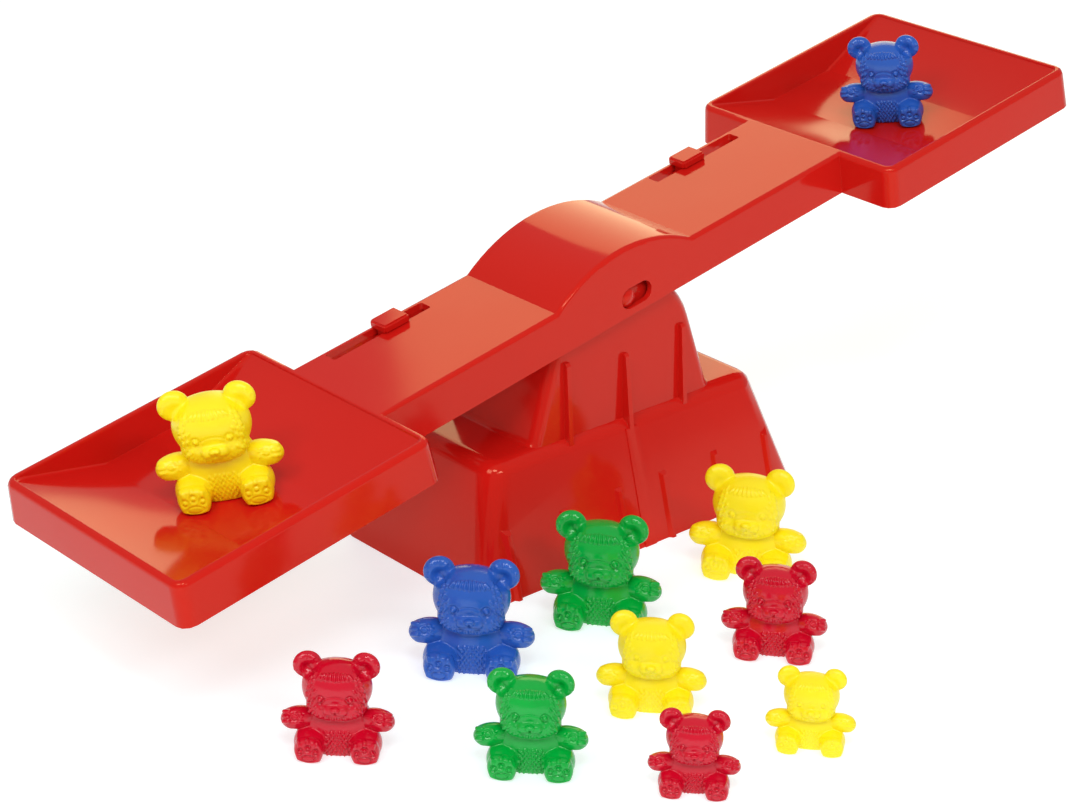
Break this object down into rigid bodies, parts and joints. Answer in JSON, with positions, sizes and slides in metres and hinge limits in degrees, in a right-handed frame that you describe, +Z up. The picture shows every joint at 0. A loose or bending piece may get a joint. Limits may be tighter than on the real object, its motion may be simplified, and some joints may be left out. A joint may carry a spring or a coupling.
{
  "type": "counting balance game",
  "caption": "Rocker balance with a tray at each end, sliding compensators on the arms and seated teddy bear counters in graded sizes.",
  "frame": {"origin": "middle of the ground that the whole set covers, at the height that the base and the floor bears stand on", "axes": "+X along the beam from the lowered tray to the raised one, +Z up, and the bears on the ground are on the -Y side of the balance"},
  "size_m": [0.3932, 0.215, 0.1425],
  "materials": {
    "red_plastic": "glossy moulded",
    "blue_plastic": "satin moulded",
    "green_plastic": "satin moulded",
    "crimson_plastic": "satin moulded",
    "yellow_plastic": "satin moulded"
  },
  "bodies": {
    "base": {"base": "red_plastic"},
    "beam": {"beam": "red_plastic"},
    "compensator_left": {"compensator_left": "red_plastic"},
    "compensator_right": {"compensator_right": "red_plastic"},
    "bear_large_blue": {"bear_large_blue": "blue_plastic"},
    "bear_large_green": {"bear_large_green": "green_plastic"},
    "bear_large_yellow": {"bear_large_yellow": "yellow_plastic"},
    "bear_medium_red_right": {"bear_medium_red_right": "crimson_plastic"},
    "bear_medium_yellow": {"bear_medium_yellow": "yellow_plastic"},
    "bear_medium_green": {"bear_medium_green": "green_plastic"},
    "bear_medium_red_left": {"bear_medium_red_left": "crimson_plastic"},
    "bear_small_red": {"bear_small_red": "crimson_plastic"},
    "bear_small_yellow": {"bear_small_yellow": "yellow_plastic"},
    "bear_large_yellow_in_tray": {"bear_large_yellow_in_tray": "yellow_plastic"},
    "bear_medium_blue_in_tray": {"bear_medium_blue_in_tray": "blue_plastic"}
  },
  "joints": [
    {"name": "beam_rock", "type": "hinge", "parent": "base", "child": "beam", "pos_m": [-0.00031, 0.06156, 0.084], "axis": [0, 1, 0], "range_deg": [0, 22]},
    {"name": "compensator_left_slide", "type": "slide", "parent": "beam", "child": "compensator_left", "axis": [0.9816, 0, 0.1908], "range_m": [-0.0209, 0.0108]},
    {"name": "compensator_right_slide", "type": "slide", "parent": "beam", "child": "compensator_right", "axis": [0.9816, 0, 0.1908], "range_m": [-0.0123, 0.0193]},
    {"name": "bear_large_yellow_in_tray_lift", "type": "slide", "parent": "beam", "child": "bear_large_yellow_in_tray", "axis": [-0.1908, 0, 0.9816], "range_m": [0, 0.06]},
    {"name": "bear_medium_blue_in_tray_lift", "type": "slide", "parent": "beam", "child": "bear_medium_blue_in_tray", "axis": [-0.1908, 0, 0.9816], "range_m": [0, 0.06]},
    {"name": "bear_large_blue_lift", "type": "slide", "parent": "base", "child": "bear_large_blue", "axis": [0, 0, 1], "range_m": [0, 0.06]},
    {"name": "bear_large_green_lift", "type": "slide", "parent": "base", "child": "bear_large_green", "axis": [0, 0, 1], "range_m": [0, 0.06]},
    {"name": "bear_large_yellow_lift", "type": "slide", "parent": "base", "child": "bear_large_yellow", "axis": [0, 0, 1], "range_m": [0, 0.06]},
    {"name": "bear_medium_red_right_lift", "type": "slide", "parent": "base", "child": "bear_medium_red_right", "axis": [0, 0, 1], "range_m": [0, 0.06]},
    {"name": "bear_medium_yellow_lift", "type": "slide", "parent": "base", "child": "bear_medium_yellow", "axis": [0, 0, 1], "range_m": [0, 0.06]},
    {"name": "bear_medium_green_lift", "type": "slide", "parent": "base", "child": "bear_medium_green", "axis": [0, 0, 1], "range_m": [0, 0.06]},
    {"name": "bear_medium_red_left_lift", "type": "slide", "parent": "base", "child": "bear_medium_red_left", "axis": [0, 0, 1], "range_m": [0, 0.06]},
    {"name": "bear_small_red_lift", "type": "slide", "parent": "base", "child": "bear_small_red", "axis": [0, 0, 1], "range_m": [0, 0.06]},
    {"name": "bear_small_yellow_lift", "type": "slide", "parent": "base", "child": "bear_small_yellow", "axis": [0, 0, 1], "range_m": [0, 0.06]}
  ]
}
